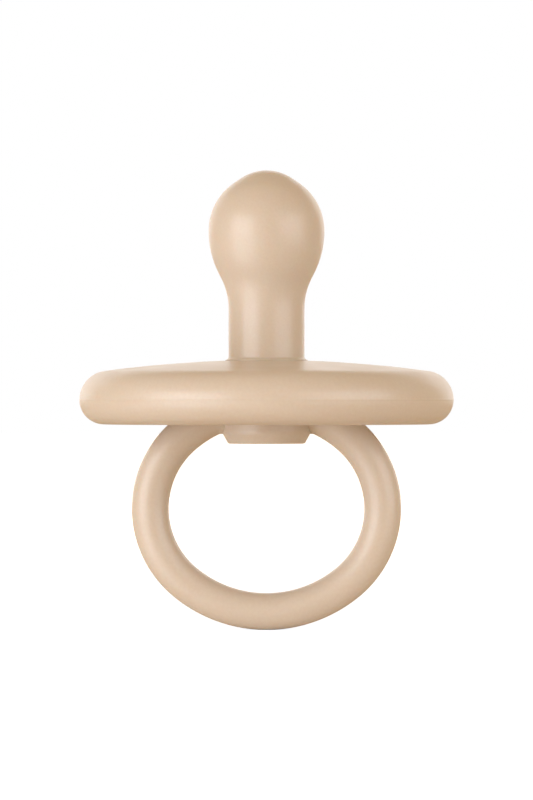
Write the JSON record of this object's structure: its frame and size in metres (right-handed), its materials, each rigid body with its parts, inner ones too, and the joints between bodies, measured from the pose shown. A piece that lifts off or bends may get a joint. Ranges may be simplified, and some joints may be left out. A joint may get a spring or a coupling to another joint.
{
  "type": "pacifier",
  "caption": "Baby pacifier: round domed shield with a rolled rim, hollow bulb teat on a straight stem, and an oval pull ring that swings in the knob on its back.",
  "frame": {"origin": "middle of the knob's flat back face, on the teat's axis", "axes": "+Z from the knob through the shield along the teat, X along the pull ring's pivot, Y across the ring's plane; the ring hangs along -Z"},
  "size_m": [0.044, 0.044, 0.054],
  "materials": {
    "teat_silicone": "satin",
    "shield_plastic": "satin",
    "plug_plastic": "satin",
    "knob_plastic": "satin",
    "ring_plastic": "satin"
  },
  "bodies": {
    "shield_body": {"shield": "shield_plastic", "teat": "teat_silicone", "teat_plug": "plug_plastic", "knob": "knob_plastic"},
    "ring_body": {"pull_ring": "ring_plastic"}
  },
  "joints": [
    {"name": "ring_swing", "type": "hinge", "parent": "shield_body", "child": "ring_body", "pos_m": [0, 0, 0.00331], "axis": [1, 0, 0], "range_deg": [-73, 73]}
  ]
}
